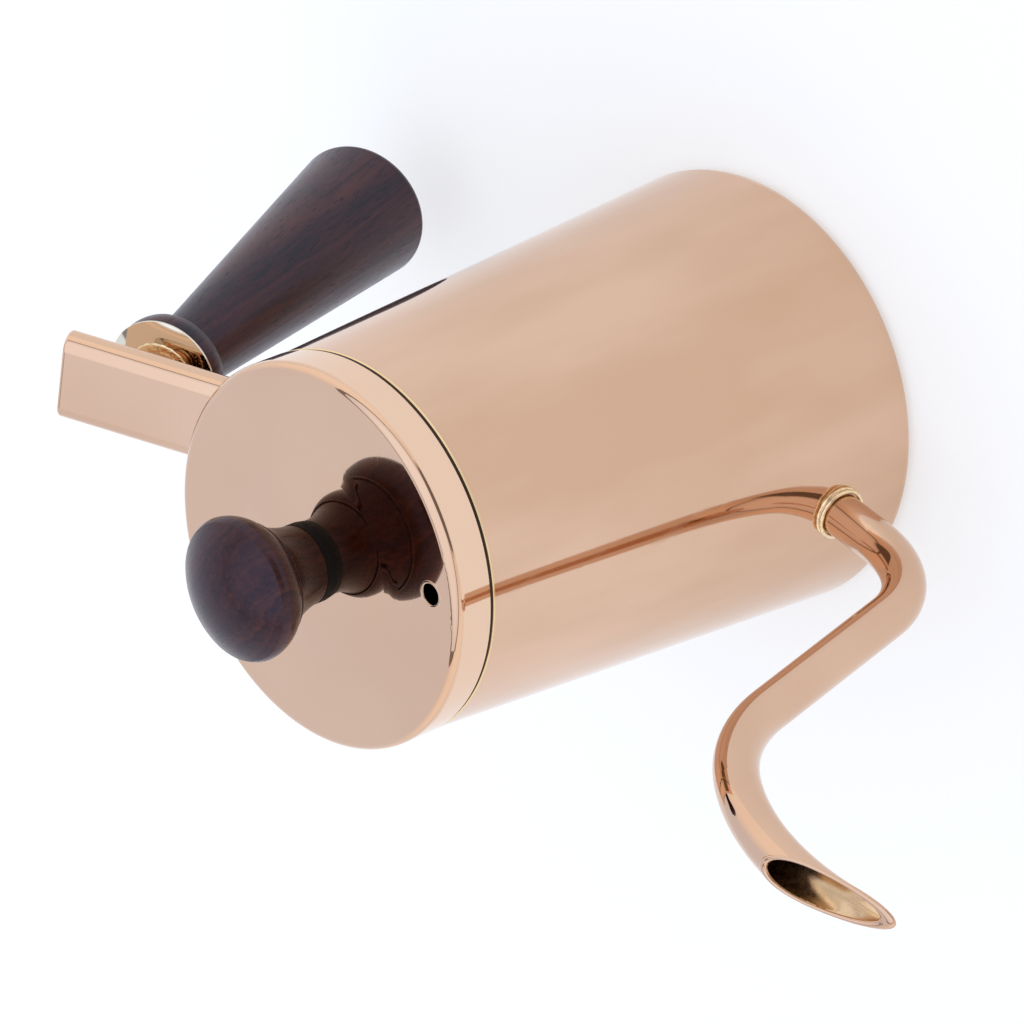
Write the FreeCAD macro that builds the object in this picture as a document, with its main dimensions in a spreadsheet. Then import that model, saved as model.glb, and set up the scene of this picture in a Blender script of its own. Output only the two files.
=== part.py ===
"""Gooseneck pour-over kettle: conical body, swan-neck spout, sloping handle arm with a hanging
wooden grip, and a lift-off lid with a wooden knob.

Frame: +Z up, origin at the centre of the base plate's underside, spout towards +X and handle
towards -X, so XZ is the plane of symmetry. Lengths are in millimetres and angles in degrees.
"""
import FreeCAD, Part
import math
import os
import re

import Sketcher
from FreeCAD import Placement, Rotation, Vector

DRIVING_DIMENSIONS = {
    # body
    "foot_radius": 51.7,            # the wall's cone carried down to the ground
    "seam_radius": 44.0,
    "seam_height": 126.1,           # where the body stops and the lid's skirt starts
    "seam_gap": 0.3,
    "wall_sheet": 1.0,
    "wall_lift": 0.3,               # the base plate alone touches the ground
    "foot_rounding": 3.0,
    "hem_height": 1.6,              # rolled edge round the mouth
    "hem_depth": 1.7,
    "base_radius": 43.8,
    "base_sheet": 1.0,
    "core_radius": 42.5,
    "core_thick": 2.6,
    # spout, in its own frame: X along the run that leaves the wall
    "spout_radius": 5.0,
    "spout_bore": 4.2,
    "spout_root_reach": 48.2,       # the tube starts just inside the wall
    "spout_root_height": 23.15,
    "spout_root_slope": 6.7,
    "spout_root_run": 15.8,
    "spout_low_bend": 26.5,
    "spout_riser_turn": 71.1,
    "spout_riser_run": 49.7,
    "spout_neck_bend": 44.0,
    "spout_neck_turn": 31.3,
    "spout_crest_bend": 64.0,
    "spout_lip_run": 16.0,
    "lip_reach": 135.5,             # where the slanted mouth starts, on top of the tube
    "lip_height": 136.1,
    "lip_slope": 14.2,
    "bead_radius": 5.9,
    "bead_thick": 1.2,
    "weld_gap": 0.05,
    # handle
    "arm_pivot_height": 89.48,      # where the arm's middle line would cross the kettle's axis
    "arm_slope": 25.6,
    "arm_width": 21.9,
    "arm_thick": 7.2,
    "arm_length": 98.3,             # along the slope, from the kettle's axis
    "arm_end_rounding": 0.8,
    "grip_reach": 77.6,             # a point on the grip's axis, at the flange's lower edge
    "grip_height": 108.9,
    "grip_lean": 19.1,
    "flange_radius": 13.0,
    "flange_height": 5.0,
    "disc_radius": 13.3,
    "disc_edge": 0.5,
    "disc_crown_radius": 60.0,
    "boss_radius": 5.5,
    "boss_top": 14.5,
    "neck_radius": 8.3,
    "neck_drop": 3.0,
    "grip_length": 91.4,
    "grip_end_radius": 16.7,
    "grip_end_rounding": 2.2,
    "grip_end_bulge": 90.0,
    "grip_insert_radius": 4.5,
    "grip_insert_length": 18.0,
    "stud_radius": 3.0,
    "stud_top": 11.0,
    # lid, measured up from the seam
    "lid_radius": 44.3,
    "lid_skirt": 7.4,
    "lid_edge_rounding": 2.4,
    "lid_dome_reach": 26.0,         # the flat round the raised middle starts here
    "lid_dome_rise": 2.7,
    "lid_dome_blend": 20.0,         # radius of the hollow curve from the flat up to the dome
    "vent_radius": 2.5,
    "vent_reach": 36.2,
    "vent_turn": 16.0,
    "sleeve_radius": 41.8,
    "sleeve_drop": 9.0,
    "sleeve_sheet": 0.8,
    "sleeve_flange": 5.0,
    "sleeve_top": 8.2,
    "washer_radius": 9.1,
    "washer_thick": 2.0,
    "knob_foot_radius": 9.0,
    "knob_neck_radius": 24.0,       # of the hollow curve between foot and throat
    "knob_throat_radius": 13.3,
    "knob_throat_height": 11.6,
    "knob_radius": 16.4,
    "knob_widest_height": 17.3,
    "knob_top_radius": 15.7,
    "knob_top_height": 19.2,
    "knob_crown_radius": 25.0,
    "knob_insert_radius": 3.4,
    "knob_insert_length": 11.0,
    "screw_radius": 2.0,
    "screw_head_radius": 4.0,
    "screw_head_height": 2.4,
    "screw_length": 14.0,
    "steel_washer_radius": 6.0,
    "steel_washer_thick": 1.0,
    "spring_washer_radius": 3.9,
    "spring_washer_thick": 0.9,
}
THREAD_GAP = 0.05                   # radial clearance between mating threads, drawn as plain shafts
DOME_GAP = 0.19                     # lets a flat washer sit under the domed sheet
UPRIGHT = Vector(0, 0, 1)
ACROSS = Vector(0, 1, 0)

doc = FreeCAD.newDocument("GooseneckKettle")
sheet = doc.addObject("Spreadsheet::Sheet", "Dims")
for row, (alias, value) in enumerate(DRIVING_DIMENSIONS.items(), start=1):
    sheet.set("A%d" % row, alias)
    sheet.set("B%d" % row, str(value))
    sheet.setAlias("B%d" % row, alias)
doc.recompute()


# ---- expressions, sketches and placements -------------------------------------------------------

def in_sheet(expression):
    """Puts the sheet's name before every alias of the expression."""
    def qualified(word):
        return "Dims." + word.group() if word.group() in DRIVING_DIMENSIONS else word.group()
    return re.sub(r"[a-z_]+", qualified, expression)


def value_of(expression):
    return float(sheet.evalExpression(in_sheet(expression)))


def bind(obj, **properties):
    for name, expression in properties.items():
        obj.setExpression(name, in_sheet(expression))


def place(obj, x="0", z="0", lean=None):
    """Puts obj's own origin at (x, 0, z), leaning by the given angle about the Y direction."""
    obj.Placement = Placement(Vector(0, 0, 0), Rotation(ACROSS, 1))
    obj.setExpression("Placement.Base.x", in_sheet(x))
    obj.setExpression("Placement.Base.z", in_sheet(z))
    obj.setExpression("Placement.Rotation.Angle", in_sheet(lean or "0"))


def new_body(name):
    body = doc.addObject("PartDesign::Body", name)
    body.Label = name
    return body


def new_sketch(body, name, role):
    sketch = body.newObject("Sketcher::SketchObject", name)
    plane = next(item for item in body.Origin.OriginFeatures if item.Role == role)
    sketch.AttachmentSupport = [(plane, "")]
    sketch.MapMode = "FlatFace"
    return sketch


def hold(sketch, kind, expression, *where):
    """Adds one constraint whose size follows the sheet."""
    index = sketch.addConstraint(Sketcher.Constraint(kind, *where, value_of(expression)))
    sketch.setExpression("Constraints[%d]" % index, in_sheet(expression))


def draw_circle(sketch, radius, x="0", y="0"):
    centre = Vector(value_of(x), value_of(y), 0)
    circle = sketch.addGeometry(Part.Circle(centre, UPRIGHT, value_of(radius)), False)
    hold(sketch, "Radius", radius, circle)
    hold(sketch, "DistanceX", x, -1, 1, circle, 3)
    hold(sketch, "DistanceY", y, -1, 1, circle, 3)


def arc_between(start, end, radius, side):
    """Arc whose centre lies on the left (side 1) or right (side -1) of the way from start to end."""
    half = (end - start) * 0.5
    left = Vector(-half.y, half.x, 0).normalize()
    centre = start + half + left * (side * math.sqrt(radius ** 2 - half.Length ** 2))
    first, last = (start, end) if side > 0 else (end, start)
    angles = [math.atan2(p.y - centre.y, p.x - centre.x) for p in (first, last)]
    return Part.ArcOfCircle(Part.Circle(centre, UPRIGHT, radius), *angles)


def draw_outline(sketch, corners, arcs=None, closed=True):
    """Draws runs from corner to corner, each corner a pair of expressions. arcs gives the radius
    expression and the centre's side of those runs that are arcs, by the run's number."""
    arcs = arcs or {}
    points = [Vector(value_of(x), value_of(y), 0) for x, y in corners]
    runs = []
    for number in range(len(points) if closed else len(points) - 1):
        start, end = points[number], points[(number + 1) % len(points)]
        if number in arcs:
            radius, side = arcs[number]
            geometry = sketch.addGeometry(arc_between(start, end, value_of(radius), side), False)
            runs.append((geometry, 1, 2) if side > 0 else (geometry, 2, 1))
        else:
            geometry = sketch.addGeometry(Part.LineSegment(start, end), False)
            runs.append((geometry, 1, 2))
    joints = runs if closed else runs[1:]
    for number, (geometry, start, _) in enumerate(joints):
        before, _, end = runs[number - 1] if closed else runs[number]
        sketch.addConstraint(Sketcher.Constraint("Coincident", before, end, geometry, start))
    ends = [(geometry, start) for geometry, start, _ in runs]
    if not closed:
        ends.append((runs[-1][0], runs[-1][2]))
    for (geometry, end), (x, y) in zip(ends, corners):
        hold(sketch, "DistanceX", x, -1, 1, geometry, end)
        hold(sketch, "DistanceY", y, -1, 1, geometry, end)
    for number, (radius, _) in arcs.items():
        hold(sketch, "Radius", radius, runs[number][0])


def turned(body, corners, arcs=None, feature="PartDesign::Revolution", name="Profile"):
    """Revolves an outline about the body's own Z axis, adding it or cutting it away."""
    sketch = new_sketch(body, name, "XZ_Plane")
    draw_outline(sketch, corners, arcs)
    solid = body.newObject(feature, name + "Turned")
    solid.Profile = sketch
    solid.ReferenceAxis = (sketch, ["V_Axis"])
    solid.Angle = 360
    doc.recompute()
    return solid


def edges_at(shape, test):
    """Names of the edges whose every sampled point passes the test."""
    names = []
    for number, edge in enumerate(shape.Edges, start=1):
        samples = edge.discretize(5)
        if all(test(point) for point in samples):
            names.append("Edge%d" % number)
    return names


def round_edges(body, radius, test, kind="PartDesign::Fillet"):
    base = body.Tip
    feature = body.newObject(kind, kind.split("::")[1])
    feature.Base = (base, edges_at(base.Shape, test))
    bind(feature, **{"Radius" if kind.endswith("Fillet") else "Size": radius})
    doc.recompute()
    return feature


def cylinder(name, radius, height, x="0", z="0", lean=None, drop="0"):
    """A Part::Cylinder standing on its own Z axis; drop moves its foot along that axis."""
    solid = doc.addObject("Part::Cylinder", name)
    bind(solid, Radius=radius, Height=height)
    if lean is None:
        place(solid, x, "%s + %s" % (z, drop))
    else:
        slope = "((%s) * 1 deg)" % lean
        place(solid, "%s + (%s) * sin%s" % (x, drop, slope),
              "%s + (%s) * cos%s" % (z, drop, slope), lean)
    return solid


def combine(kind, label, base, tool):
    result = doc.addObject("Part::" + kind, label)
    result.Label = label
    result.Base = base
    result.Tool = tool
    return result


def ring(label, outer, inner, height, **where):
    return combine("Cut", label, cylinder(label + "_blank", outer, height, **where),
                   cylinder(label + "_bore", inner, height, **where))


# ---- shared tools -------------------------------------------------------------------------------

def outer_cone():
    """Everything inside the body's outer surface; trims what is welded to the wall."""
    cone = doc.addObject("Part::Cone", "inside_of_wall")
    bind(cone, Radius1="foot_radius", Radius2="seam_radius", Height="seam_height")
    return cone


WALL_SLOPE = "((foot_radius - seam_radius) / seam_height)"


def wall_radius(height):
    return "(foot_radius - %s * (%s))" % (WALL_SLOPE, height)


# ---- body ---------------------------------------------------------------------------------------

def build_wall():
    """Conical sheet wall, turned in under the foot and rolled to a hem round the mouth."""
    body = new_body("wall_sheet")
    top = "(seam_height - seam_gap / 2)"
    hem = "(seam_height - seam_gap / 2 - hem_height)"
    turned(body, [
        ("base_radius + 0.2", "wall_lift"),
        (wall_radius("wall_lift"), "wall_lift"),
        (wall_radius(top), top),
        (wall_radius(top) + " - hem_depth", top),
        (wall_radius(top) + " - hem_depth", hem),
        (wall_radius(hem) + " - wall_sheet", hem),
        (wall_radius("wall_lift") + " - wall_sheet", "wall_lift + wall_sheet"),
        ("base_radius + 0.2", "wall_lift + wall_sheet"),
    ])
    foot_edge = value_of(wall_radius("wall_lift"))
    lift = value_of("wall_lift")
    sheet_thick = value_of("wall_sheet")
    round_edges(body, "foot_rounding",
                lambda p: abs(math.hypot(p.x, p.y) - foot_edge) < 0.02 and abs(p.z - lift) < 0.02)
    round_edges(body, "foot_rounding - wall_sheet",
                lambda p: abs(math.hypot(p.x, p.y) - foot_edge + sheet_thick) < 0.02
                and abs(p.z - lift - sheet_thick) < 0.02)
    top_height = value_of(top)
    round_edges(body, "hem_height * 0.45", lambda p: abs(p.z - top_height) < 0.02)
    hole = cylinder("spout_hole", "spout_radius + weld_gap", "14", "spout_root_reach",
                    "spout_root_height", "90 - spout_root_slope", "-6")
    return combine("Cut", "body_wall", body, hole)


def build_base():
    plate = cylinder("base_plate", "base_radius", "base_sheet")
    core = cylinder("base_core", "core_radius", "core_thick", z="base_sheet")
    rim = wall_radius("base_sheet + core_thick + wall_sheet") + " - wall_sheet"
    floor = cylinder("inner_floor", rim, "wall_sheet", z="base_sheet + core_thick")
    return [plate, core, floor]


# ---- spout --------------------------------------------------------------------------------------

def build_spout():
    """Swan-neck tube swept along two runs and three bends, its mouth cut on a slant."""
    body = new_body("spout_pipe")
    riser = "(spout_riser_turn * 1 deg)"
    neck = "(spout_neck_turn * 1 deg)"
    lip = "(-spout_root_slope * 1 deg)"
    path = [("0", "0"), ("spout_root_run", "0")]

    def onward(x, y):
        path.append(("%s + %s" % (path[-1][0], x), "%s + %s" % (path[-1][1], y)))

    onward("spout_low_bend * sin" + riser, "spout_low_bend * (1 - cos%s)" % riser)
    onward("spout_riser_run * cos" + riser, "spout_riser_run * sin" + riser)
    onward("spout_neck_bend * (sin%s - sin%s)" % (riser, neck),
           "spout_neck_bend * (cos%s - cos%s)" % (neck, riser))
    onward("spout_crest_bend * (sin%s - sin%s)" % (neck, lip),
           "spout_crest_bend * (cos%s - cos%s)" % (lip, neck))
    onward("spout_lip_run * cos" + lip, "spout_lip_run * sin" + lip)
    spine = new_sketch(body, "SpoutPath", "XZ_Plane")
    draw_outline(spine, path, {1: ("spout_low_bend", 1), 3: ("spout_neck_bend", -1),
                               4: ("spout_crest_bend", -1)}, closed=False)
    for name, radius, kind in (("Outside", "spout_radius", "PartDesign::AdditivePipe"),
                               ("Bore", "spout_bore", "PartDesign::SubtractivePipe")):
        section = new_sketch(body, "Spout" + name, "YZ_Plane")
        draw_circle(section, radius)
        pipe = body.newObject(kind, "Spout%sPipe" % name)
        pipe.Profile = section
        pipe.Spine = spine
        doc.recompute()
    place(body, "spout_root_reach", "spout_root_height", "-spout_root_slope")
    cutter = doc.addObject("Part::Box", "lip_cutter")
    bind(cutter, Length="60", Width="30", Height="30")
    place(cutter, "lip_reach", "lip_height", "lip_slope")
    cutter.setExpression("Placement.Base.y", "-15")
    return combine("Cut", "spout_tube", body, cutter)


def build_bead(cone):
    """Weld bead between the spout and the wall."""
    root = {"x": "spout_root_reach", "z": "spout_root_height", "lean": "90 - spout_root_slope"}
    reach = wall_radius("spout_root_height") + " - spout_root_reach - 1"
    outer = cylinder("bead_outer", "bead_radius", "bead_thick + 1", drop=reach, **root)
    bore = cylinder("bead_bore", "spout_radius + weld_gap", "bead_thick + 1", drop=reach, **root)
    rounded = doc.addObject("Part::Fillet", "bead_rounded")
    doc.recompute()
    rounded.Base = outer
    far = [index for index, edge in enumerate(outer.Shape.Edges, start=1)
           if edge.Closed and edge.CenterOfMass.x > outer.Shape.CenterOfMass.x]
    rounded.Edges = [(index, 0.8, 0.8) for index in far]
    collar = combine("Cut", "bead_collar", rounded, bore)
    return combine("Cut", "spout_bead", collar, cone)


# ---- handle -------------------------------------------------------------------------------------

def build_arm(cone):
    """Round-edged bar, cut square at its outer end and welded to the wall at the other."""
    body = new_body("arm_bar")
    section = new_sketch(body, "ArmSection", "YZ_Plane")
    flat, half = "(arm_width / 2 - arm_thick / 2)", "(arm_thick / 2)"
    draw_outline(section, [("-" + flat, "-" + half), (flat, "-" + half), (flat, half), ("-" + flat, half)],
                 {1: ("arm_thick / 2 * 1.0001", 1), 3: ("arm_thick / 2 * 1.0001", 1)})
    bar = body.newObject("PartDesign::Pad", "ArmPad")
    bar.Profile = section
    bar.Reversed = True
    bind(bar, Length="arm_length")
    doc.recompute()
    end = -value_of("arm_length")
    round_edges(body, "arm_end_rounding", lambda p: abs(p.x - end) < 0.01)
    place(body, z="arm_pivot_height", lean="arm_slope")
    return body, combine("Cut", "handle_arm", body, cone)


GRIP_AXIS = {"x": "-grip_reach", "z": "grip_height", "lean": "grip_lean"}


def build_grip_fixings(arm_bar):
    """What holds the grip under the arm: a crowned disc, a boss welded on, a stud and an insert."""
    disc = new_body("grip_disc")
    rise = "(sqrt(disc_crown_radius ^ 2 - (%s) ^ 2) - sqrt(disc_crown_radius ^ 2 - disc_radius ^ 2))"
    hole, edge = "stud_radius + %s" % THREAD_GAP, "flange_height + disc_edge"
    turned(disc, [
        (hole, "flange_height"),
        ("disc_radius", "flange_height"),
        ("disc_radius", edge),
        (hole, edge + " + " + rise % hole),
    ], {2: ("disc_crown_radius", 1)})
    place(disc, **GRIP_AXIS)
    boss_blank = cylinder("boss_blank", "boss_radius", "boss_top - flange_height",
                          drop="flange_height", **GRIP_AXIS)
    thread = cylinder("boss_thread", hole, "stud_top + 1 - flange_height", drop="flange_height",
                      **GRIP_AXIS)
    under_arm = combine("Cut", "boss_under_arm", boss_blank, arm_bar)
    seated = combine("Cut", "boss_on_disc", under_arm, disc)
    boss = combine("Cut", "arm_boss", seated, thread)
    insert = ring("grip_insert", "grip_insert_radius", hole, "grip_insert_length",
                  drop="flange_height - 0.5 - grip_insert_length", **GRIP_AXIS)
    stud = cylinder("grip_stud", "stud_radius", "stud_top + grip_insert_length - flange_height",
                    drop="flange_height - grip_insert_length", **GRIP_AXIS)
    return [boss, disc, insert, stud]


def build_grip():
    """Turned wooden grip: flange, short neck, long flare and a softly rounded end."""
    body = new_body("grip")
    turned(body, [
        ("0", "flange_height"),
        ("flange_radius", "flange_height"),
        ("flange_radius - 0.1", "0.4"),
        ("flange_radius - 1.2", "-0.8"),
        ("neck_radius", "-neck_drop"),
        ("grip_end_radius", "-grip_length + grip_end_rounding"),
        ("grip_end_radius - grip_end_rounding", "-grip_length"),
        ("0", "-grip_length - 1.2"),
    ], {
        1: ("9", -1),
        2: ("1.3", -1),
        3: ("4.5", 1),
        5: ("grip_end_rounding * 1.02", -1),
        6: ("grip_end_bulge", -1),
    })
    turned(body, [
        ("0", "flange_height + 0.5"),
        ("grip_insert_radius + %s" % THREAD_GAP, "flange_height + 0.5"),
        ("grip_insert_radius + %s" % THREAD_GAP, "flange_height - grip_insert_length - 1"),
        ("0", "flange_height - grip_insert_length - 1"),
    ], feature="PartDesign::Groove", name="Bore")
    place(body, **GRIP_AXIS)
    return body


# ---- lid ----------------------------------------------------------------------------------------

LID_FLAT = "(seam_gap / 2 + lid_skirt + lid_edge_rounding)"
LID_TOP = "(%s + lid_dome_rise)" % LID_FLAT
DOME_TURN = "(2 * atan(lid_dome_rise / lid_dome_reach))"
DOME_RADIUS = "(lid_dome_reach / sin(%s) - lid_dome_blend)" % DOME_TURN


def build_lid_cap():
    """Sheet cap with a straight skirt, a raised middle, a vent hole and a hole for the knob's screw."""
    body = new_body("lid_cap")
    skirt, shoulder = "(seam_gap / 2 + lid_skirt)", "lid_radius - lid_edge_rounding"
    under_flat = LID_FLAT + " - wall_sheet"

    def turning_point(radius):
        """Where the dome, drawn with this radius, meets the hollow curve."""
        return ("%s * sin(%s)" % (radius, DOME_TURN),
                "%s - %s + %s * cos(%s)" % (LID_TOP, DOME_RADIUS, radius, DOME_TURN))

    under_dome = "(%s - wall_sheet)" % DOME_RADIUS
    turned(body, [
        ("lid_radius", "seam_gap / 2"),
        ("lid_radius", skirt),
        (shoulder, LID_FLAT),
        ("lid_dome_reach", LID_FLAT),
        turning_point(DOME_RADIUS),
        ("0", LID_TOP),
        ("0", LID_TOP + " - wall_sheet"),
        turning_point(under_dome),
        ("lid_dome_reach", under_flat),
        (shoulder, under_flat),
        ("lid_radius - wall_sheet", skirt),
        ("lid_radius - wall_sheet", "seam_gap / 2"),
    ], {
        1: ("lid_edge_rounding", 1),
        3: ("lid_dome_blend", -1),
        4: (DOME_RADIUS, 1),
        6: (under_dome, -1),
        7: ("lid_dome_blend + wall_sheet", 1),
        9: ("lid_edge_rounding - wall_sheet", -1),
    })
    turn = "(vent_turn * 1 deg)"
    for name, radius, x, y in (
            ("Vent", "vent_radius", "vent_reach * cos" + turn, "vent_reach * sin" + turn),
            ("ScrewHole", "screw_radius + 0.2", "0", "0")):
        circle = new_sketch(body, name, "XY_Plane")
        draw_circle(circle, radius, x, y)
        before = body.Shape.Volume
        cut = body.newObject("PartDesign::Pocket", name + "Cut")
        cut.Profile = circle
        cut.Type = 1
        cut.Reversed = True
        doc.recompute()
        assert body.Shape.Volume < before - 1.0
    vent = Vector(value_of("vent_reach * cos" + turn), value_of("vent_reach * sin" + turn), 0)
    wide = value_of("vent_radius") * 1.2
    upper_face = value_of(LID_FLAT) - 0.5
    round_edges(body, "0.4", lambda p: math.hypot(p.x - vent.x, p.y - vent.y) < wide
                and p.z > upper_face)
    place(body, z="seam_height")
    return body


def build_sleeve():
    """Ring that drops into the mouth and centres the lid."""
    body = new_body("lid_sleeve")
    inner = "(sleeve_radius - sleeve_sheet)"
    under = "(sleeve_top - sleeve_sheet)"
    turned(body, [
        ("sleeve_radius", "-sleeve_drop"),
        ("sleeve_radius", "sleeve_top"),
        ("sleeve_radius - sleeve_flange", "sleeve_top"),
        ("sleeve_radius - sleeve_flange", under),
        (inner, under),
        (inner, "-sleeve_drop"),
    ])
    place(body, z="seam_height")
    return body


def build_knob():
    """Turned wooden knob: narrow foot, hollow neck, wide head and a domed top with a crisp edge."""
    body = new_body("knob")
    turned(body, [
        ("0", "0"),
        ("knob_foot_radius", "0"),
        ("knob_throat_radius", "knob_throat_height"),
        ("knob_radius", "knob_widest_height"),
        ("knob_top_radius", "knob_top_height"),
        ("0", "knob_top_height + knob_crown_radius - sqrt(knob_crown_radius ^ 2 - knob_top_radius ^ 2)"),
    ], {
        1: ("knob_neck_radius", -1),
        2: ("8.1", 1),
        3: ("4", 1),
        4: ("knob_crown_radius", 1),
    })
    turned(body, [
        ("0", "-0.5"),
        ("knob_insert_radius + %s" % THREAD_GAP, "-0.5"),
        ("knob_insert_radius + %s" % THREAD_GAP, "knob_insert_length + 2"),
        ("0", "knob_insert_length + 2"),
    ], feature="PartDesign::Groove", name="Bore")
    place(body, z="seam_height + %s + washer_thick" % LID_TOP)
    return body


def build_knob_fixings():
    """Soft washer over the lid; under it a washer, a spring washer and the screw into the insert."""
    top = "(seam_height + %s)" % LID_TOP
    under = "(%s - wall_sheet - %s)" % (top, DOME_GAP)
    soft = new_body("knob_washer")
    fall = "(sqrt(%s ^ 2 - (%%s) ^ 2) - %s)" % (DOME_RADIUS, DOME_RADIUS)
    hole = "screw_radius + 0.3"
    turned(soft, [
        (hole, fall % hole),
        ("washer_radius", fall % "washer_radius"),
        ("washer_radius", "washer_thick"),
        (hole, "washer_thick"),
    ], {0: (DOME_RADIUS, -1)})
    place(soft, z=top)
    insert = ring("knob_insert", "knob_insert_radius", "screw_radius + %s" % THREAD_GAP,
                  "knob_insert_length", z="%s + washer_thick + 0.1" % top)
    steel = ring("steel_washer", "steel_washer_radius", "screw_radius + 0.2", "steel_washer_thick",
                 z="%s - steel_washer_thick" % under)
    spring_foot = "(%s - steel_washer_thick - spring_washer_thick)" % under
    full = ring("spring_ring", "spring_washer_radius", "screw_radius + 0.15", "spring_washer_thick",
                z=spring_foot)
    gap = doc.addObject("Part::Box", "spring_gap")
    bind(gap, Length="6", Width="0.7", Height="4")
    place(gap, z="%s - 1" % spring_foot)
    spring = combine("Cut", "spring_washer", full, gap)
    head = cylinder("screw_head", "screw_head_radius", "screw_head_height",
                    z="%s - screw_head_height" % spring_foot)
    shank = cylinder("screw_shank", "screw_radius", "screw_length", z=spring_foot)
    recess = doc.addObject("Part::Prism", "screw_recess")
    recess.Polygon = 6
    bind(recess, Circumradius="screw_radius * 0.75", Height="screw_head_height * 0.6")
    place(recess, z="%s - screw_head_height" % spring_foot)
    whole = combine("Fuse", "screw_blank", head, shank)
    screw = combine("Cut", "knob_screw", whole, recess)
    return [soft, insert, steel, spring, screw]


def main():
    cone = outer_cone()
    arm_bar, arm = build_arm(cone)
    parts = [build_wall(), *build_base(), build_spout(), build_bead(cone), arm,
             *build_grip_fixings(arm_bar), build_grip(),
             build_lid_cap(), build_sleeve(), build_knob(), *build_knob_fixings()]
    doc.recompute()
    for item in doc.Objects:
        if "Invalid" in item.State or "Error" in item.State:
            raise RuntimeError("%s is %s" % (item.Label, item.State))
    os.makedirs("parts", exist_ok=True)
    for part in parts:
        shape = part.Shape
        if shape.isNull() or not shape.isValid() or len(shape.Solids) != 1:
            raise RuntimeError("%s has no single valid solid" % part.Label)
    for part in parts:
        part.Shape.exportStep("parts/%s.step" % part.Label)
        print("%-14s %9.1f mm3" % (part.Label, part.Shape.Volume))


main()
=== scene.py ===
"""Looks for the gooseneck kettle: finishes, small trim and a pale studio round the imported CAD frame."""

import math

import bmesh
import bpy
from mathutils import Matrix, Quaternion, Vector, noise
from mathutils.bvhtree import BVHTree
from mathutils.geometry import intersect_point_line


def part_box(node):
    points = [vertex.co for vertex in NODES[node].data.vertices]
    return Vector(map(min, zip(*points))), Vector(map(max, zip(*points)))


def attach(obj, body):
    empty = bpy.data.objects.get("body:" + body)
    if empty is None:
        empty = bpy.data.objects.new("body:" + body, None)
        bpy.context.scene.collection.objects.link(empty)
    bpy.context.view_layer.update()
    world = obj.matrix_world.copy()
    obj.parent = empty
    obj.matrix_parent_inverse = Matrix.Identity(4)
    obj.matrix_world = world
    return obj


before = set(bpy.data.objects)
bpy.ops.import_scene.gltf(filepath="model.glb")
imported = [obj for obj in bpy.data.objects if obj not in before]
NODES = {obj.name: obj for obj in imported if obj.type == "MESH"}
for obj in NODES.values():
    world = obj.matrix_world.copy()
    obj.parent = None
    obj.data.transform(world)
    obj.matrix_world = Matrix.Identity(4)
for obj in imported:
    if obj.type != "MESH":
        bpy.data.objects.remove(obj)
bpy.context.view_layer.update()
MM = 0.001
UP = Vector((0.0, 0.0, 1.0))


def direction(azimuth, elevation):
    """Unit vector from the kettle, with azimuth turned from +X towards +Y, in degrees."""
    turn, rise = math.radians(azimuth), math.radians(elevation)
    return Vector((math.cos(turn) * math.cos(rise), math.sin(turn) * math.cos(rise), math.sin(rise)))


# ---- node trees ----------------------------------------------------------------------------------

class Tree:
    """A node tree, written a node at a time."""

    def __init__(self, tree):
        self.tree = tree

    def feed(self, socket, value):
        if isinstance(value, bpy.types.NodeSocket):
            self.tree.links.new(value, socket)
        else:
            socket.default_value = value

    def node(self, kind, inputs, **settings):
        made = self.tree.nodes.new("ShaderNode" + kind)
        for name, value in settings.items():
            setattr(made, name, value)
        for key, value in inputs.items():
            self.feed(made.inputs[key], value)
        return made

    def math(self, operation, *values):
        return self.node("Math", dict(enumerate(values)), operation=operation).outputs[0]

    def vector(self, operation, *values):
        made = self.node("VectorMath", dict(enumerate(values)), operation=operation)
        return made.outputs["Value" if operation in ("DOT_PRODUCT", "LENGTH") else "Vector"]

    def split(self, vector):
        return self.node("SeparateXYZ", {0: vector}).outputs

    def join(self, x, y, z):
        return self.node("CombineXYZ", {0: x, 1: y, 2: z}).outputs[0]

    def noise(self, vector, scale, detail=3.0, rough=0.5):
        inputs = {"Vector": vector, "Scale": scale, "Detail": detail, "Roughness": rough}
        return self.node("TexNoise", inputs).outputs["Fac"]

    def spread(self, value, low, high, out_low=0.0, out_high=1.0):
        """value from low..high carried over to out_low..out_high, and held at both ends."""
        inputs = {0: value, 1: low, 2: high, 3: out_low, 4: out_high}
        return self.node("MapRange", inputs).outputs[0]

    def mix(self, share, first, second):
        return self.node("Mix", {0: share, 6: first, 7: second}, data_type="RGBA").outputs[2]


class Paint(Tree):
    """One material, with the coordinates that its pattern hangs on."""

    def __init__(self, name, **sockets):
        self.material = bpy.data.materials.new(name)
        self.material.use_nodes = True
        super().__init__(self.material.node_tree)
        self.shader = self.tree.nodes["Principled BSDF"]
        coords = self.node("TexCoord", {})
        self.place = coords.outputs["Object"]
        self.normal = coords.outputs["Normal"]
        self.set(**sockets)

    def mapped(self, scale, turn=(0, 0, 0), shift=(0, 0, 0), source=None):
        inputs = {"Vector": source or self.place, "Location": shift, "Rotation": turn, "Scale": scale}
        return self.node("Mapping", inputs).outputs[0]

    def bump(self, height, depth, strength=1.0, under=None):
        inputs = {"Height": height, "Distance": depth, "Strength": strength}
        if under is not None:
            inputs["Normal"] = under
        return self.node("Bump", inputs).outputs[0]

    def set(self, **sockets):
        for socket, value in sockets.items():
            self.feed(self.shader.inputs[socket.replace("_", " ")], value)
        return self.material


def rgb(red, green, blue):
    return (red, green, blue, 1.0)


# ---- finishes ------------------------------------------------------------------------------------

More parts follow.
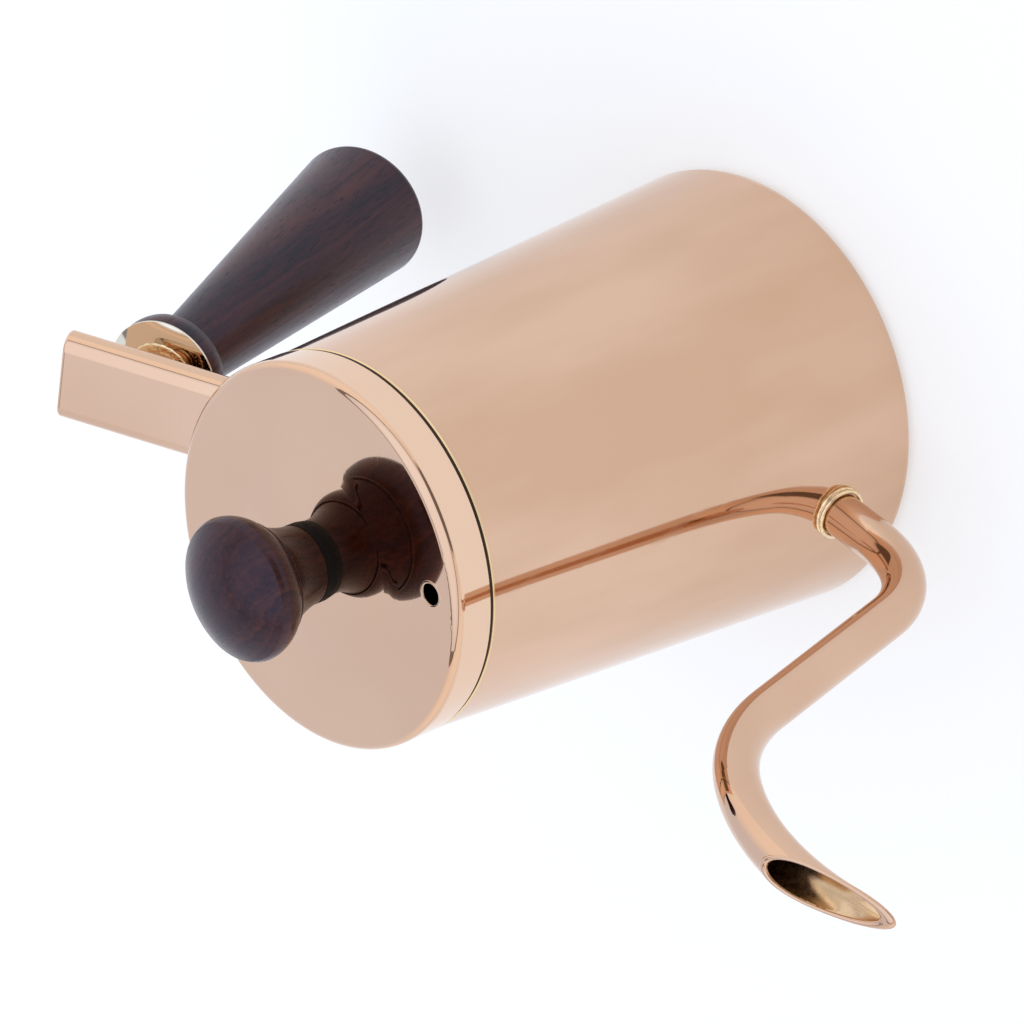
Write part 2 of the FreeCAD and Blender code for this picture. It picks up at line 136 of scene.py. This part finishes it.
def round_axis(paint):
    """Unit direction outwards from the kettle's axis, the distance from it, and the height."""
    x, y, z = paint.split(paint.place)
    flat = paint.join(x, y, 0.0)
    return paint.vector("NORMALIZE", flat), paint.vector("LENGTH", flat), z


def hairlines(paint, turn, fineness):
    """Sparse thin polishing lines: noise drawn out ninetyfold and cut near its top."""
    drawn = paint.noise(paint.mapped((fineness, fineness / 90, fineness / 90), turn), 1.0, 2.0)
    return paint.spread(drawn, 0.66, 0.74)


def soft_clouds(paint):
    return paint.noise(paint.place, 22.0, 2.0)


def tall_clouds(paint):
    """Clouds round the kettle's axis, drawn out upwards."""
    outwards, _, z = round_axis(paint)
    upwards = paint.join(0.0, 0.0, paint.math("MULTIPLY_ADD", z, 6.0, 3.7))
    return paint.noise(paint.vector("MULTIPLY_ADD", outwards, (1.1, 1.1, 0.0), upwards), 1.7, 3.0, 0.5)


def spun_clouds(paint):
    """Clouds with faint rings about the kettle's axis, left by spinning."""
    _, reach, _ = round_axis(paint)
    rings = paint.noise(paint.join(paint.math("MULTIPLY", reach, 900.0), 0.0, 0.0), 1.0, 4.0, 0.7)
    clouds = paint.noise(paint.place, 18.0, 2.0)
    return paint.math("MULTIPLY_ADD", rings, 0.12, paint.math("MULTIPLY", clouds, 0.88))


def polished(name, pale, deep, rough, drift=soft_clouds, skirt_highlight=None, lining=None, hem=None):
    """Mirror-polished plated sheet, with drifting tone, polishing haze and hairlines.

    skirt_highlight is a painted highlight, a brighter copper on what doesn't face up, and lining, more
    matt, colours what faces the kettle's axis.
    Above the height hem the sheet is painted dark brown and rougher, a painted shade for the shadow in
    the seam's gap under the lid.
    """
    paint = Paint(name, Metallic=1.0)
    colour = paint.mix(paint.spread(drift(paint), 0.36, 0.64), pale, deep)
    haze = paint.noise(paint.place, 34.0, 5.0, 0.62)
    lines = paint.math("MAXIMUM", hairlines(paint, (0.3, 0.9, 0.5), 1500.0),
                       hairlines(paint, (1.1, -0.5, 0.2), 1900.0))
    gloss = paint.math("ADD", paint.spread(haze, 0.35, 0.7, rough * 0.75, rough * 1.35),
                       paint.math("MULTIPLY", lines, 0.05))
    waves = paint.bump(paint.noise(paint.place, 55.0, 1.0), 0.00002, 0.5)
    normal = paint.bump(lines, 0.000002, 0.3, under=waves)
    if skirt_highlight is not None:
        # painted highlight: faces that don't face up get a brighter copper, as if more brightly lit
        steep = paint.spread(paint.split(paint.normal)[2], 0.40, 0.15)
        colour = paint.mix(steep, colour, skirt_highlight)
    if lining is not None:
        facing = paint.vector("DOT_PRODUCT", paint.normal, round_axis(paint)[0])
        inside = paint.spread(facing, -0.25, -0.35)
        colour = paint.mix(inside, colour, lining)
        gloss = paint.math("ADD", gloss, paint.math("MULTIPLY", inside, 0.36))
        paint.set(Metallic=paint.spread(inside, 0.0, 1.0, 1.0, 0.45))
    if hem is not None:
        # painted shade: a dark brown band above hem stands in for the shadow in the gap between lid and
        # body
        seam_shade = paint.spread(round_axis(paint)[2], hem - 0.05 * MM, hem + 0.05 * MM)
        colour = paint.mix(seam_shade, colour, rgb(0.05, 0.035, 0.025))
        gloss = paint.math("ADD", gloss, paint.math("MULTIPLY", seam_shade, 0.35))
    return paint.set(Base_Color=colour, Roughness=gloss, Normal=normal)


def brushed(name, pale, deep, rough):
    """Steel or brass turned on a lathe: fine rings about the kettle's axis."""
    paint = Paint(name, Metallic=1.0)
    _, reach, z = round_axis(paint)
    rings = paint.noise(paint.join(reach, z, 0.0), 1400.0, 4.0, 0.7)
    cloud = paint.noise(paint.place, 30.0, 3.0)
    colour = paint.mix(paint.spread(cloud, 0.3, 0.7), pale, deep)
    gloss = paint.spread(rings, 0.25, 0.75, rough * 0.7, rough * 1.4)
    return paint.set(Base_Color=colour, Roughness=gloss, Normal=paint.bump(rings, 0.00001, 0.4))


def weld_metal(name, pale, deep, rough):
    """Weld metal, polished over its ripples and pits."""
    paint = Paint(name, Metallic=1.0)
    grains = paint.noise(paint.place, 900.0, 4.0, 0.65)
    pits = paint.spread(paint.noise(paint.place, 2100.0, 2.0), 0.60, 0.72)
    colour = paint.mix(paint.spread(grains, 0.35, 0.65), pale, deep)
    height = paint.math("SUBTRACT", grains, pits)
    return paint.set(Base_Color=colour,
                     Roughness=paint.spread(grains, 0.3, 0.7, rough * 0.6, rough * 1.5),
                     Normal=paint.bump(height, 0.00012, 0.6))


def satin(name, pale, deep, rough):
    """Bare sheet left as it was drawn, dull and lightly grained."""
    paint = Paint(name, Metallic=1.0)
    grain = paint.noise(paint.place, 500.0, 2.0, 0.5)
    return paint.set(Base_Color=paint.mix(grain, pale, deep),
                     Roughness=paint.spread(grain, 0.3, 0.7, rough * 0.8, rough * 1.2),
                     Normal=paint.bump(grain, 0.00001, 0.3))


def rosewood(name, turn, pith, black, red, rough, sheen, waxed=None):
    """Turned dark rosewood: growth layers about a far pith, red streaks, open pores, a thin oil.

    waxed gives the heights between which a dull lower part becomes a waxed upper part.
    """
    paint = Paint(name)
    stick = paint.mapped((1.0, 1.0, 1.0), turn, pith)
    sway = paint.noise(paint.mapped((1.0, 1.0, 0.22), source=stick), 70.0, 3.0, 0.55)
    x, y, _ = paint.split(stick)
    depth = paint.math("MULTIPLY_ADD", sway, 0.010, paint.vector("LENGTH", paint.join(x, y, 0.0)))
    layers = paint.join(depth, 0.0, 0.0)
    broad = paint.noise(layers, 190.0, 2.0, 0.5)
    narrow = paint.noise(layers, 1100.0, 2.0, 0.6)
    streak = paint.noise(paint.mapped((1.0, 1.0, 0.04), source=stick), 700.0, 4.0, 0.65)
    tone = paint.math("MULTIPLY_ADD", broad, 0.45, paint.math("MULTIPLY", streak, 0.30))
    tone = paint.spread(paint.math("MULTIPLY_ADD", narrow, 0.25, tone), 0.40, 0.62)
    pores = paint.spread(paint.noise(paint.mapped((1.0, 1.0, 0.035), source=stick), 2600.0, 1.0),
                         0.62, 0.70)
    colour = paint.mix(tone, black, red)
    colour = paint.mix(paint.math("MULTIPLY", pores, 0.7), colour, rgb(0.004, 0.003, 0.003))
    gloss = paint.math("ADD", paint.spread(streak, 0.3, 0.7, rough * 0.85, rough * 1.15),
                       paint.math("MULTIPLY", pores, 0.18))
    if waxed is not None:
        paint.set(Specular_IOR_Level=paint.spread(paint.split(paint.place)[2], *waxed, 0.15, 0.5))
    height = paint.math("SUBTRACT", paint.math("MULTIPLY", streak, 0.4), pores)
    return paint.set(Base_Color=colour, Roughness=gloss, Normal=paint.bump(height, 0.00003, 0.35),
                     IOR=1.45, Specular_Tint=rgb(0.70, 0.69, 1.0), Sheen_Weight=sheen,
                     Sheen_Roughness=0.25, Sheen_Tint=rgb(0.80, 0.86, 1.0))


def silicone(name):
    """Matt black rubber, faintly speckled."""
    paint = Paint(name)
    speck = paint.noise(paint.place, 900.0, 3.0)
    colour = paint.mix(speck, rgb(0.002, 0.002, 0.002), rgb(0.006, 0.005, 0.005))
    return paint.set(Base_Color=colour, Roughness=paint.spread(speck, 0.3, 0.7, 0.52, 0.68),
                     Normal=paint.bump(speck, 0.00002, 0.4), Specular_IOR_Level=0.12)


def centre(node):
    low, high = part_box(node)
    return (Vector(low) + Vector(high)) / 2


GRIP_UP = (centre("grip_stud") - centre("grip_insert")).normalized()
GRIP_LEAN = math.atan2(GRIP_UP.x, GRIP_UP.z)
MOUTH_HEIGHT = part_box("body_wall")[1][2]
KNOB_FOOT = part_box("knob")[0][2]
BARE_STEEL = rgb(0.64, 0.63, 0.61)
PALE_COPPER, DEEP_COPPER = rgb(0.715, 0.480, 0.335), rgb(0.675, 0.440, 0.300)
FINISHES = {
    "copper_body": polished("rose_copper_body", rgb(0.715, 0.480, 0.345), rgb(0.635, 0.410, 0.275),
                            0.060, tall_clouds, lining=BARE_STEEL, hem=MOUTH_HEIGHT - 0.75 * MM),
    "copper_lid": polished("rose_copper_lid", PALE_COPPER, DEEP_COPPER, 0.035, spun_clouds,
                           skirt_highlight=rgb(0.80, 0.560, 0.405), lining=BARE_STEEL),
    "copper_spout": polished("rose_copper_spout", rgb(0.685, 0.457, 0.322),
                             rgb(0.640, 0.415, 0.285), 0.045),
    "copper_handle": polished("rose_copper_handle", PALE_COPPER, DEEP_COPPER, 0.050),
    "disc_steel": polished("disc_steel", rgb(0.80, 0.75, 0.63), rgb(0.74, 0.68, 0.56), 0.050),
    "base_metal": brushed("spun_base_steel", rgb(0.60, 0.58, 0.56), rgb(0.50, 0.48, 0.46), 0.28),
    "inner_steel": brushed("inner_steel", rgb(0.60, 0.59, 0.57), rgb(0.52, 0.51, 0.50), 0.24),
    "aluminium_core": brushed("core_aluminium", rgb(0.80, 0.80, 0.80), rgb(0.70, 0.70, 0.71), 0.40),
    "brass_insert": brushed("brass_insert", rgb(0.75, 0.52, 0.22), rgb(0.65, 0.43, 0.17), 0.25),
    "fixing_steel": brushed("fixing_steel", rgb(0.66, 0.65, 0.63), rgb(0.55, 0.54, 0.53), 0.22),
    "grip_wood": rosewood("grip_rosewood", turn=(0.0, -GRIP_LEAN, 0.0), pith=(0.085, 0.035, 0.0),
                          black=rgb(0.008, 0.004, 0.004), red=rgb(0.070, 0.019, 0.010),
                          rough=0.34, sheen=0.32),
    "knob_wood": rosewood("knob_rosewood", turn=(0.0, 0.10, 0.0), pith=(0.055, -0.030, 0.0),
                          black=rgb(0.011, 0.003, 0.002), red=rgb(0.064, 0.016, 0.006),
                          rough=0.25, sheen=0.02,
                          waxed=(KNOB_FOOT + 10.0 * MM, KNOB_FOOT + 17.0 * MM)),
    "black_silicone": silicone("black_silicone"),
}
GOLD_TRIM = polished("gold_trim", rgb(0.86, 0.66, 0.36), rgb(0.80, 0.58, 0.30), 0.060)
WELD = weld_metal("gold_weld", rgb(0.90, 0.76, 0.50), rgb(0.74, 0.54, 0.31), 0.14)
SPOUT_INSIDE = satin("spout_inside", rgb(0.76, 0.52, 0.30), rgb(0.62, 0.40, 0.22), 0.26)
for node in NODES.values():
    for material_slot in node.material_slots:
        material_slot.material = FINISHES[material_slot.material.name]


# ---- trim ----------------------------------------------------------------------------------------

SPOUT_RISE = math.radians(6.7)          # of the spout's first run
LIP_SWELL = 0.45 * MM                   # how much thicker the spout's lip gets towards its tip
LINING_DEPTH = 40 * MM                  # how far the spout's satin inside reaches from its mouth
LINING_SHEET = 0.08 * MM
LID_DOME_RISE = 2.7 * MM                # of the lid's raised middle over the flat round it
VENT_TURN, VENT_REACH = 16.0, 36.2 * MM
SAME_POINT = 1e-6                       # points closer than this are one point
SAME_WAY = 0.9999                       # directions whose cosine is above this are one direction


def piece(name, shape, body, material):
    """Object made of a finished bmesh, riding a CAD body."""
    for face in shape.faces:
        face.smooth = True
    mesh = bpy.data.meshes.new(name)
    shape.to_mesh(mesh)
    shape.free()
    mesh.materials.append(material)
    made = bpy.data.objects.new(name, mesh)
    bpy.context.scene.collection.objects.link(made)
    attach(made, body)


def tube(name, stations, body, material):
    """Closed band through stations of a centre and its section's two half axes, joined end to end."""
    shape = bmesh.new()
    points = 12
    angles = [2 * math.pi * k / points for k in range(points)]
    rings = [[shape.verts.new(middle + across * math.cos(a) + upward * math.sin(a)) for a in angles]
             for middle, across, upward in stations]
    for here, after in zip(rings, rings[1:] + rings[:1]):
        for k in range(points):
            n = (k + 1) % points
            shape.faces.new((here[k], here[n], after[n], after[k]))
    bmesh.ops.recalc_face_normals(shape, faces=shape.faces)
    piece(name, shape, body, material)


def ripple(turn, count, depth, seed):
    """About 1: a weld's even ripples, with a slow uneven swell under them."""
    slow = noise.noise(Vector((math.cos(turn) * 2.0, math.sin(turn) * 2.0, seed)))
    return 1.0 + depth * math.cos(count * turn) + 1.2 * depth * slow


def ring(middle, axis, reach, width, height, steps, ripples=0, depth=0.0, seed=0.0):
    """Stations of a ring about an axis, plain or rippled like a weld."""
    first = axis.orthogonal().normalized()
    second = axis.cross(first)
    stations = []
    for k in range(steps):
        turn = 2 * math.pi * k / steps
        out = first * math.cos(turn) + second * math.sin(turn)
        swell = ripple(turn, ripples, depth, seed)
        stations.append((middle + out * reach, out * width * swell, axis * height * swell))
    return stations


def rims(node, chosen):
    """Ordered boundary loops of a node's faces that pass a test, longest first.

    The edges wait in a dict, because a set would start the loops elsewhere in each run.
    """
    patch = bmesh.new()
    patch.from_mesh(node.data)
    bmesh.ops.remove_doubles(patch, verts=patch.verts, dist=SAME_POINT)
    bmesh.ops.delete(patch, geom=[f for f in patch.faces if not chosen(f)], context="FACES")
    left = dict.fromkeys(edge for edge in patch.edges if edge.is_boundary)
    loops = []
    while left:
        start, at = left.popitem()[0].verts
        loop = [start.co.copy()]
        while at is not start:
            loop.append(at.co.copy())
            edge = next(e for e in at.link_edges if e in left)
            del left[edge]
            at = edge.other_vert(at)
        loops.append(loop)
    patch.free()
    return sorted(loops, key=around, reverse=True)


def sides(loop):
    return zip(loop, loop[1:] + loop[:1])


def around(loop):
    return sum((b - a).length for a, b in sides(loop))


def evenly(loop, steps):
    """Points at equal distances along a closed loop."""
    step = around(loop) / steps
    points, gone = [], 0.0
    for a, b in sides(loop):
        span = (b - a).length
        while gone <= span and len(points) < steps:
            points.append(a.lerp(b, gone / span))
            gone += step
        gone -= span
    return points


def nearest_on(loop, point):
    found = []
    for a, b in sides(loop):
        share = intersect_point_line(point, a, b)[1]
        found.append(a.lerp(b, min(1.0, max(0.0, share))))
    return min(found, key=lambda p: (p - point).length)


def mouth_rims():
    """The direction the spout's cut end faces, and its outer and inner edge."""
    spout = NODES["spout_tube"]
    area = {}
    for face in spout.data.polygons:
        key = tuple(round(n, 3) for n in face.normal)
        area[key] = area.get(key, 0.0) + face.area
    upward = Vector(max((key for key in area if key[2] > 0.5), key=area.get)).normalized()
    return upward, rims(spout, lambda face: face.normal.dot(upward) > SAME_WAY)[:2]


def mouth_lip(upward, outer, inner):
    """Rolled lip over the flat cut edge, thicker towards the tip."""
    tip, back = max(p.x for p in outer), min(p.x for p in outer)
    stations = []
    for edge in evenly(outer, 170):
        half = (edge - nearest_on(inner, edge)) / 2
        extra = LIP_SWELL * ((edge.x - back) / (tip - back)) ** 2
        across = half + half.normalized() * extra / 2
        height = min(half.length, 0.5 * MM) + 0.4 * extra
        stations.append((edge - across - upward * 0.4 * extra, across, upward * height))
    return stations


def mouth_lining(upward, inner):
    """Thin shell over the tube's inner faces, from the cut end down into the dark.

    Its faces are sorted at the end, because solidify leaves some in another order in each run.
    """
    shape = bmesh.new()
    shape.from_mesh(NODES["spout_tube"].data)
    bmesh.ops.remove_doubles(shape, verts=shape.verts, dist=SAME_POINT)
    mouth = sum(inner, Vector()) / len(inner)

    def lined(face):
        near = (face.calc_center_median() - mouth).length < LINING_DEPTH
        return near and face.normal.dot(upward) < SAME_WAY

    edge = [v for v in shape.verts if min((v.co - p).length for p in inner) < SAME_POINT]
    waiting = {face for v in edge for face in v.link_faces if lined(face)}
    inside = set()
    while waiting:
        face = waiting.pop()
        inside.add(face)
        beside = {other for side in face.edges for other in side.link_faces}
        waiting |= {other for other in beside - inside if lined(other)}
    bmesh.ops.delete(shape, geom=[f for f in shape.faces if f not in inside], context="FACES")
    bmesh.ops.solidify(shape, geom=shape.faces[:], thickness=-LINING_SHEET)
    bmesh.ops.recalc_face_normals(shape, faces=shape.faces)
    shape.faces.sort(key=lambda face: face.calc_center_median().dot(direction(30.0, 20.0)))
    return shape


def root_weld():
    """Fillet weld where the arm meets the wall."""
    wall = NODES["body_wall"].data
    tree = BVHTree.FromPolygons([v.co for v in wall.vertices], [p.vertices for p in wall.polygons])

    def on_wall(face):
        return all(tree.find_nearest(v.co)[3] < 0.1 * MM for v in face.verts)

    loop = rims(NODES["handle_arm"], on_wall)[0]
    middle = sum(loop, Vector()) / len(loop)
    width, height, ripples, steps = 1.0 * MM, 0.8 * MM, 34, 200
    stations = []
    for k, point in enumerate(evenly(loop, steps)):
        facing = Vector((point.x, point.y, 0.0)).normalized()
        out = point - middle
        out = (out - facing * out.dot(facing)).normalized()
        swell = ripple(2 * math.pi * k / steps, ripples, depth=0.04, seed=5.0)
        stations.append((point, out * width * swell, facing * height * swell))
    return stations


def trim_kettle():
    hem = UP * (MOUTH_HEIGHT - 1.05 * MM)
    wire = ring(hem, UP, reach=43.9 * MM, width=0.34 * MM, height=0.28 * MM, steps=240)
    tube("hem_wire", wire, "kettle", GOLD_TRIM)
    upward, (outer, inner) = mouth_rims()
    lip = mouth_lip(upward, outer, inner)
    tube("spout_lip", lip, "kettle", FINISHES["copper_spout"])
    piece("spout_lining", mouth_lining(upward, inner), "kettle", SPOUT_INSIDE)
    tube("arm_weld", root_weld(), "kettle", FINISHES["copper_handle"])
    run = Vector((math.cos(SPOUT_RISE), 0.0, math.sin(SPOUT_RISE)))
    for name, shift, seed in (("root_bead_inner", -0.5, 1.0), ("root_bead_outer", 0.7, 2.0)):
        bead = ring(centre("spout_bead") + run * shift * MM, run, reach=5.75 * MM, width=0.5 * MM,
                    height=0.5 * MM, steps=160, ripples=9, depth=0.08, seed=seed)
        tube(name, bead, "kettle", WELD)
    weld = ring(centre("grip_disc") + GRIP_UP * 0.75 * MM, GRIP_UP, reach=6.9 * MM, width=1.75 * MM,
                height=0.75 * MM, steps=240, ripples=23, depth=0.02, seed=3.0)
    tube("boss_weld", weld, "kettle", WELD)


def trim_lid():
    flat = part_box("lid_cap")[1][2] - LID_DOME_RISE
    vent = direction(VENT_TURN, 0.0) * VENT_REACH + UP * flat
    rim = ring(vent, UP, reach=2.85 * MM, width=0.35 * MM, height=0.15 * MM, steps=60)
    tube("vent_rim", rim, "lid", FINISHES["copper_lid"])
    throat = UP * (KNOB_FOOT + 11.7 * MM)
    ridge = ring(throat, UP, reach=13.35 * MM, width=0.35 * MM, height=0.45 * MM, steps=150)
    tube("knob_ridge", ridge, "lid", FINISHES["knob_wood"])


trim_kettle()
trim_lid()


# ---- floor, light and camera ---------------------------------------------------------------------

def floor_paint():
    paint = Paint("pale_floor", Roughness=0.9, Emission_Strength=0.48)
    cloud = paint.noise(paint.place, 3.0, 2.0)
    shade = paint.mix(cloud, rgb(0.50, 0.50, 0.50), rgb(0.52, 0.52, 0.52))
    return paint.set(Base_Color=shade, Emission_Color=rgb(1.0, 1.0, 1.0))


def make_floor():
    """Round floor, wide enough to fill every reflection below the horizon."""
    shape = bmesh.new()
    bmesh.ops.create_circle(shape, cap_ends=True, segments=96, radius=6.0)
    mesh = bpy.data.meshes.new("studio_floor")
    shape.to_mesh(mesh)
    shape.free()
    mesh.materials.append(floor_paint())
    floor = bpy.data.objects.new("studio_floor", mesh)
    bpy.context.scene.collection.objects.link(floor)


CAMERA_SIDE, CAMERA_RISE = 43.06, 39.32     # the photo's viewing angle, in degrees
CAMERA_ROLL = -112.38
CAMERA_DISTANCE, LENS = 1.382, 221.25       # in metres, and in millimetres
AIM = Vector((0.0146, 0.0043, 0.0914))


def make_world():
    """A pale room with a round ceiling lamp and the photographer's dark shape.

    Each layer covers those before it, from the cosine low to the cosine high about its direction.
    """
    world = bpy.data.worlds.new("studio")
    bpy.context.scene.world = world
    world.use_nodes = True
    room = Tree(world.node_tree)
    where = room.node("TexCoord", {}).outputs["Generated"]

    def towards(azimuth, elevation):
        return room.vector("DOT_PRODUCT", where, direction(azimuth, elevation))

    front = towards(CAMERA_SIDE, 0.0)
    side = room.math("ABSOLUTE", towards(CAMERA_SIDE + 90.0, 0.0))
    overhead, person = towards(CAMERA_SIDE, 70.0), towards(CAMERA_SIDE, 5.0)
    lamp = room.mix(room.spread(overhead, 0.67, 0.85), rgb(0.95, 1.03, 1.20), rgb(1.20, 1.31, 1.50))
    shade = rgb(0.90, 0.98, 1.14)                               # the wall beyond the kettle
    for near, low, high, colour in (
            (front, -0.7, 0.5, rgb(1.04, 1.0, 0.94)),           # the wall behind the camera
            (side, 0.55, 0.85, rgb(1.20, 1.18, 1.16)),          # the walls at both sides
            (overhead, 0.610, 0.622, rgb(0.28, 0.25, 0.24)),    # the lamp's dark rim
            (overhead, 0.664, 0.676, lamp),
            (person, 0.885, 0.930, rgb(0.22, 0.20, 0.19))):
        shade = room.mix(room.spread(near, low, high), shade, colour)
    back = world.node_tree.nodes["Background"]
    room.feed(back.inputs["Color"], shade)


def make_camera():
    data = bpy.data.cameras.new("camera")
    data.lens = LENS
    camera = bpy.data.objects.new("camera", data)
    bpy.context.scene.collection.objects.link(camera)
    away = direction(CAMERA_SIDE, CAMERA_RISE)
    camera.location = AIM + away * CAMERA_DISTANCE
    camera.rotation_mode = "QUATERNION"
    roll = Quaternion((0.0, 0.0, 1.0), math.radians(CAMERA_ROLL))
    camera.rotation_quaternion = (-away).to_track_quat("-Z", "Y") @ roll
    bpy.context.scene.camera = camera


make_floor()
make_world()
make_camera()
bpy.context.scene.view_settings.view_transform = "Standard"
